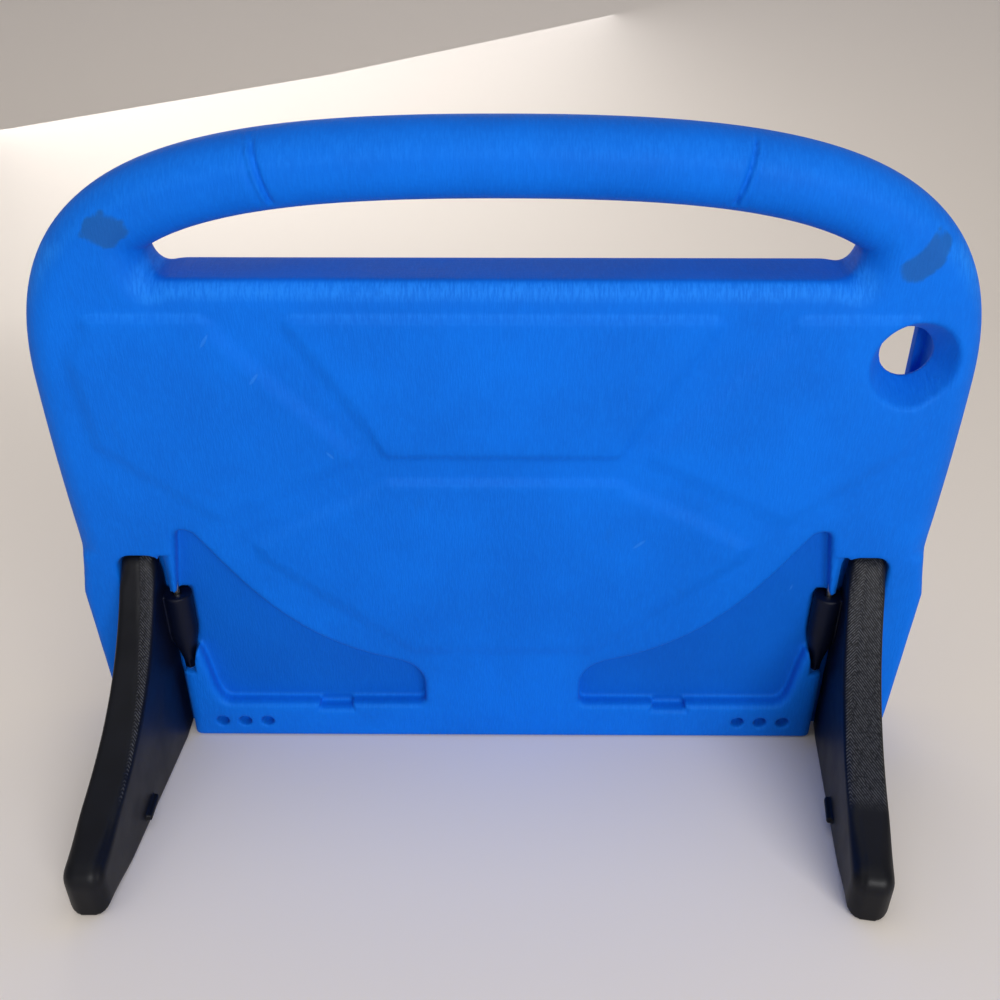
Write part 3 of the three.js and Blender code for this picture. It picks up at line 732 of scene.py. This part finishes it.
def foam_material():
    """Blue moulded foam with an upright woven emboss, scuffs, and the two worn dark patches."""
    material = Material("blue_foam", Specular_IOR_Level=0.09, Sheen_Weight=0.02, Sheen_Roughness=0.4)
    place, normal = material.place(), material.place("Normal")
    ribs = material.noise((0.55, 3.4, 3.4), 3.0, 0.62)
    threads = material.noise((2.6, 0.7, 0.7), 2.0, 0.5)
    grain = material.noise(0.35, 2.0, 0.6)
    mottle = material.noise(42.0, 4.0, 0.55)
    colour = material.mix(material.ramp(mottle, 0.3, 0.7), FOAM["deep"], FOAM["plain"])
    colour = material.mix(material.ramp(ribs, 0.42, 0.68, 0.0, 0.16), colour, FOAM["rib"])

    # Rounded edges that face upward are painted paler, a painted highlight where the light from above and
    # in front falls on them, most of all under the hand opening
    rising = material.facing(normal, UP)
    edge = material.times(material.ramp(rising, 0.12, 0.42), material.ramp(rising, 0.97, 0.72))
    level = material.along(place, UP, to_row((0, 0, 0)) @ UP / MM)
    shelf = material.times(material.ramp(level, 160.0, 166.0), material.ramp(level, 186.0, 178.0))
    edge = material.times(edge, material.ramp(shelf, 0.0, 1.0, 0.25, 1.0))
    edge = material.times(edge, material.ramp(ribs, 0.36, 0.62, 0.35, 1.0))
    colour = material.mix(material.times(edge, 0.45), colour, FOAM["edge_highlight"])
    grime = material.ramp(material.noise((9.0, 26.0, 26.0), 5.0, 0.65), 0.60, 0.80, 0.0, 0.18)
    colour = material.mix(grime, colour, FOAM["grimy"])

    # The floors of the two recesses are darkened with painted shade, where their raised sides hold back the
    # light
    depth = material.along(place, OUT, to_row((0, 0, 0)) @ OUT / MM)
    floor = material.times(material.ramp(depth, -2.2, -4.6), material.ramp(depth, -9.0, -7.0))
    floor = material.times(floor, material.ramp(material.facing(normal, OUT), 0.6, 0.95))
    colour = material.mix(material.times(floor, 0.4), colour, FOAM["recess"])

    worn = 0.0
    for patch in STAINS:
        inside = spot(material, patch["at"], patch["turn"], *patch["size"], rough=STAIN["rough"])
        if "bite" in patch:
            bite = spot(material, *patch["bite"])
            inside = material.math("SUBTRACT", inside, bite, clamp=True)
        worn = material.math("MAXIMUM", worn, inside)
    colour = material.mix(material.times(worn, STAIN["strength"]), colour, FOAM["stained"])
    scuffs = 0.0
    for at, turn, length in SCUFFS:
        scuff = spot(material, at, turn, length, SCUFF["half_width"], rough=SCUFF["rough"])
        scuffs = material.math("MAXIMUM", scuffs, scuff)
    colour = material.mix(material.times(scuffs, SCUFF["strength"]), colour, FOAM["scuffed"])

    height = material.times(ribs, 0.62)
    height = material.math("ADD", height, material.times(threads, 0.26))
    height = material.math("ADD", height, material.times(grain, 0.12))
    height = material.math("SUBTRACT", height, material.times(scuffs, SCUFF["relief"]))
    roughness = material.ramp(mottle, 0.25, 0.75, 0.60, 0.74)
    roughness = material.math("SUBTRACT", roughness, material.times(worn, 0.06))
    return material.finish(colour, roughness, height, FOAM["relief"], 0.85)


def plastic_material(side):
    """Black moulded plastic, with fine slanting lines beside the seam on the leg's upper edge."""
    name = "black_plastic_left" if side < 0 else "black_plastic_right"
    material = Material(name, Specular_IOR_Level=0.2)
    place, normal = material.place(), material.place("Normal")
    turn = math.radians(90 - OPEN_ANGLE[side])
    outward = side * math.cos(turn) * ACROSS + math.sin(turn) * OUT
    forward = -side * math.sin(turn) * ACROSS + math.cos(turn) * OUT
    pin = to_row((side * HINGE_U, 0, -HINGE_DEPTH)) / MM
    x = material.along(place, outward, pin @ outward + LEG_INNER)
    r = material.along(place, forward, pin @ forward)
    h = material.along(place, UP, pin @ UP)
    thickness = LEG_OUTER - LEG_INNER
    seam = material.ramp(r, -5.0, SEAM["reach"], SEAM["start"] * thickness, SEAM["end"] * thickness)
    off = material.math("SUBTRACT", x, seam)
    wobble = material.times(material.noise(2.5, 2.0), CHEVRON["wobble"])
    down = material.math("SUBTRACT", material.times(r, CHEVRON["slope"]), h)
    fold = material.times(material.math("ABSOLUTE", off), -CHEVRON["fold"])
    phase = material.times(material.math("ADD", down, fold), 2 * math.pi / CHEVRON["pitch"])
    phase = material.math("ADD", phase, wobble)
    lines = material.ramp(material.math("SINE", phase), -0.6, 0.8)
    edge = material.math("ABSOLUTE", material.facing(normal, outward))
    band = material.ramp(edge, 0.75, 0.45)
    band = material.times(band, material.ramp(r, SEAM["reach"] + 3, SEAM["reach"] - 4))
    if side < 0:
        band = material.times(band, material.ramp(off, 0.6, -0.4))
    band = material.times(band, material.ramp(material.noise(1.1, 3.0, 0.7), 0.30, 0.62))
    lines = material.times(lines, band, material.ramp(x, 0.0, 0.6))
    grain = material.noise(0.5, 3.0, 0.6)
    patches = material.noise(14.0, 3.0)
    colour = material.mix(material.ramp(patches, 0.3, 0.7), PLASTIC["dark"], PLASTIC["plain"])
    # Painted reflection: the leg's inner face by the hinge is tinted dark navy, standing in for the blue
    # foam reflected in the black plastic.
    inner = material.times(material.ramp(r, 30.0, 8.0), material.ramp(x, 1.0, 0.2))
    colour = material.mix(inner, colour, PLASTIC["hinge"])
    colour = material.mix(material.times(lines, 0.85), colour, PLASTIC["line"])
    height = material.math("ADD", material.times(lines, 0.8), material.times(grain, 0.12))
    roughness = material.ramp(patches, 0.25, 0.75, 0.42, 0.52)
    return material.finish(colour, roughness, height, PLASTIC["relief"], 0.8)


def steel_material():
    """Drawn wire, with fine lines along it."""
    material = Material("steel", Metallic=1.0)
    lines = material.noise((0.15, 4.0, 4.0), 2.0)
    colour = material.mix(lines, STEEL["dark"], STEEL["light"])
    roughness = material.ramp(lines, 0.3, 0.7, 0.25, 0.38)
    return material.finish(colour, roughness, lines, STEEL["relief"], 0.4)


# Stage, lights and camera

CAMERA = {
    "focal": 1100.0,
    "picture": 1000.0,
    "pitch": 32.6,
    "yaw": -0.36,
    "roll": -0.01,
    "offset": (0.8, 85.5, 395.8),
}
STAGE = {"front": -3, "bend_start": 0.7, "bend_radius": 0.7, "top": 3, "half_width": 4}
LAMPS = [
    {"name": "ceiling", "place": (0.0, -0.3, 1.5), "aim": (0, 0, 0.1), "size": (1.6, 1.2), "watts": 4.0},
    {"name": "front", "place": (0.32, -1.15, 0.42), "aim": (0, 0, 0.12), "size": (0.8, 0.4), "watts": 11.5},
    {"name": "fill", "place": (-0.25, 1.15, 0.35), "aim": (0, 0, 0.12), "size": (0.8, 0.5), "watts": 4.0},
]
WORLD = {"colour": (1.0, 0.97, 0.95, 1), "strength": 0.33}


def make_camera():
    a, y, r = (math.radians(CAMERA[key]) for key in ("pitch", "yaw", "roll"))
    tilt = np.array([[1, 0, 0], [0, -math.cos(a), math.sin(a)], [0, -math.sin(a), -math.cos(a)]])
    yaw = np.array([[math.cos(y), 0, math.sin(y)], [0, 1, 0], [-math.sin(y), 0, math.cos(y)]])
    roll = np.array([[math.cos(r), -math.sin(r), 0], [math.sin(r), math.cos(r), 0], [0, 0, 1]])
    turn = roll @ tilt @ yaw
    place = to_row(-turn.T @ np.array(CAMERA["offset"]))
    axes = turn @ np.array([ACROSS, UP, OUT])
    data = bpy.data.cameras.new("camera")
    data.sensor_width = 36
    data.lens = data.sensor_width * CAMERA["focal"] / CAMERA["picture"]
    data.clip_start, data.clip_end = 0.01, 50
    camera = bpy.data.objects.new("camera", data)
    basis = np.eye(4)
    basis[:3, 0], basis[:3, 1], basis[:3, 2], basis[:3, 3] = axes[0], -axes[1], -axes[2], place
    camera.matrix_world = Matrix(basis.tolist())
    bpy.context.scene.collection.objects.link(camera)
    bpy.context.scene.camera = camera


def make_stage():
    """A floor that curves up into a backdrop."""
    start, radius, half = STAGE["bend_start"], STAGE["bend_radius"], STAGE["half_width"]
    profile = [(STAGE["front"], 0), (start, 0)]
    bend = np.linspace(0.1, math.pi / 2, 12)
    profile += [(start + radius * math.sin(a), radius - radius * math.cos(a)) for a in bend]
    profile += [(start + radius, STAGE["top"])]
    points = [(x, y, z) for y, z in profile for x in (-half, half)]
    faces = [(2 * i, 2 * i + 1, 2 * i + 3, 2 * i + 2) for i in range(len(profile) - 1)]
    mesh = bpy.data.meshes.new("stage")
    mesh.from_pydata(points, [], faces)
    mesh.polygons.foreach_set("use_smooth", np.ones(len(mesh.polygons), bool))
    stage = bpy.data.objects.new("stage", mesh)
    bpy.context.scene.collection.objects.link(stage)
    paper = Material("stage", Roughness=0.8, Specular_IOR_Level=0.15)
    # Painted shade: the paper darkens from the floor colour to a greyer colour with height, standing in for
    # the dimmer light higher up the backdrop.
    rise = paper.along(paper.place(), (0, 0, 1))
    colour = paper.mix(paper.ramp(rise, 0.0, PAPER["fade"]), PAPER["floor"], PAPER["wall"])
    paper.set(paper.shader.inputs["Base Color"], colour)
    stage.data.materials.append(paper.data)


def lamp(name, place, aim, size, watts):
    data = bpy.data.lights.new(name, "AREA")
    data.shape = "RECTANGLE"
    data.size, data.size_y = size
    data.energy = watts
    light = bpy.data.objects.new(name, data)
    light.location = place
    light.rotation_euler = (Vector(aim) - Vector(place)).to_track_quat("-Z", "Y").to_euler()
    bpy.context.scene.collection.objects.link(light)


def make_lights():
    for settings in LAMPS:
        lamp(**settings)
    world = bpy.data.worlds.new("world")
    world.use_nodes = True
    world.node_tree.nodes["Background"].inputs["Color"].default_value = WORLD["colour"]
    world.node_tree.nodes["Background"].inputs["Strength"].default_value = WORLD["strength"]
    bpy.context.scene.world = world
    bpy.context.scene.view_settings.view_transform = "Standard"


def cover(piece, material):
    piece.data.materials.clear()
    piece.data.materials.append(material)


make_camera()
make_stage()
make_lights()
cover(foam_shell(), foam_material())
for which in (-1, 1):
    cover(moulded_leg(which), plastic_material(which))
steel = steel_material()
for pin in ("left_hinge_pin", "right_hinge_pin"):
    cover(frame["nodes"][pin], steel)
